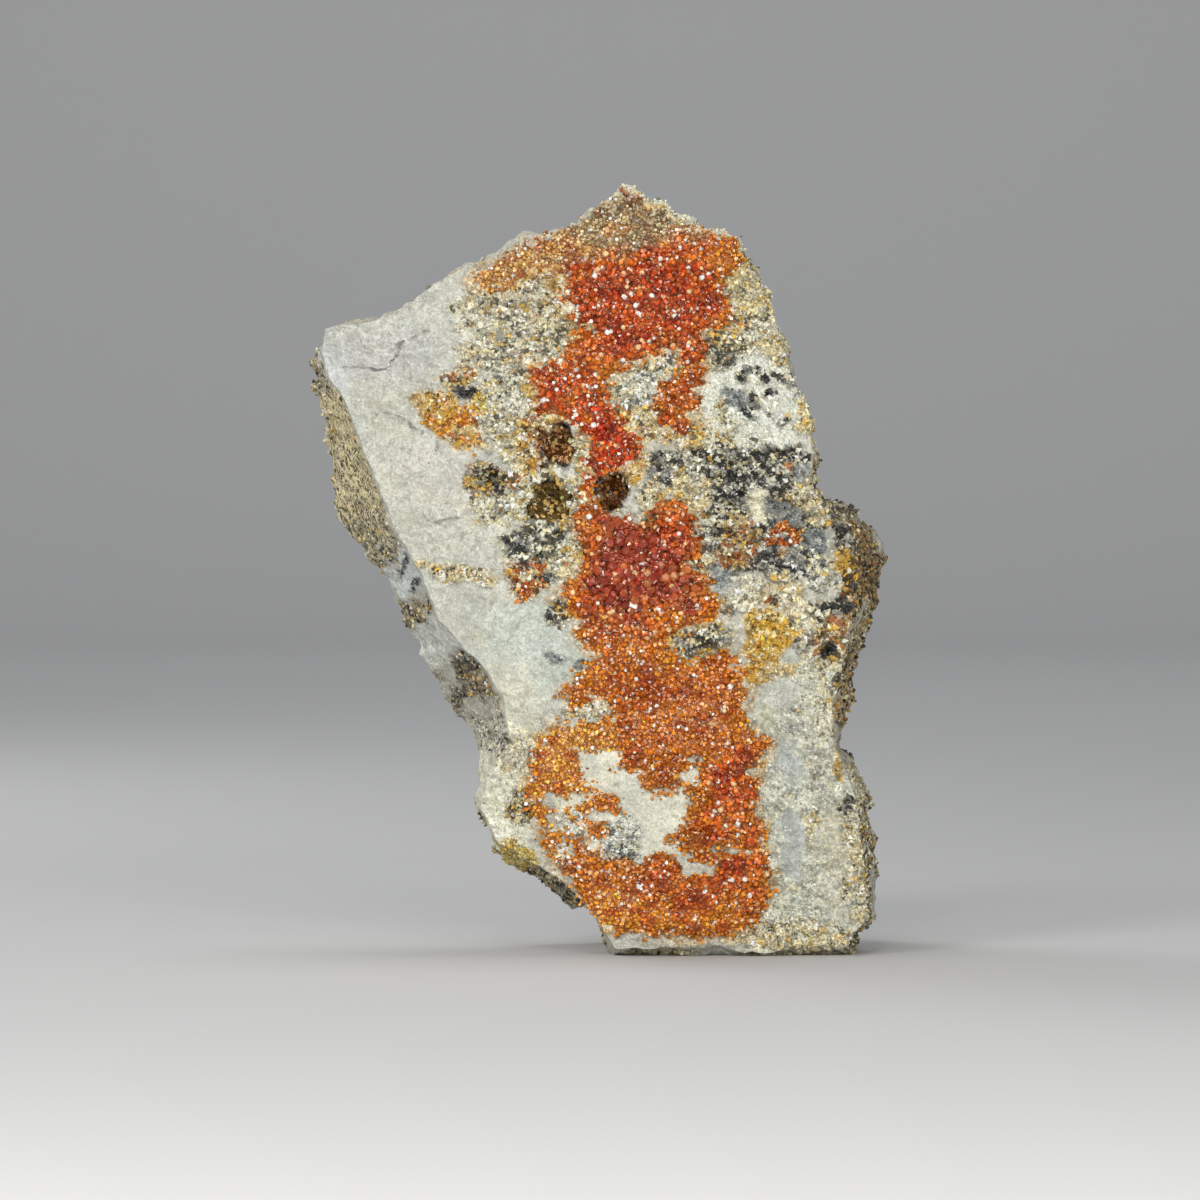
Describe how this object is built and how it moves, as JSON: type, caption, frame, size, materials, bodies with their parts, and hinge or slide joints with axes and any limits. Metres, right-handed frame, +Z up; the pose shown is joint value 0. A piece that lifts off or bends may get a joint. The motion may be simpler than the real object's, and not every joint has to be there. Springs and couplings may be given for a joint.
{
  "type": "vanadinite on matrix",
  "caption": "Upright mineral specimen: a wedge of pale quartz rock with a crust of small red-orange crystals down its front and dark crystal-lined hollows.",
  "frame": {"origin": "middle of the specimen's box, on the plane that its flat broken base stands on", "axes": "+Z up; the crystal-covered face looks along -Y; +X to the right of someone who faces the crystals"},
  "size_m": [0.075, 0.0459, 0.1],
  "materials": {
    "quartz_rock": "pale grey-white broken quartz, with granular brown and dark patches",
    "vanadinite": "glassy red to orange crystals",
    "brown_crystals": "small dark brown crystals with a dull shine"
  },
  "bodies": {
    "root": {"quartz_matrix": "quartz_rock", "vanadinite_crust": "vanadinite", "vanadinite_patch_left": "vanadinite", "vanadinite_patch_right": "vanadinite", "vanadinite_patch_centre": "vanadinite", "upper_hollow_lining": "brown_crystals", "middle_hollow_lining": "brown_crystals", "right_hollow_lining": "brown_crystals"}
  },
  "joints": []
}
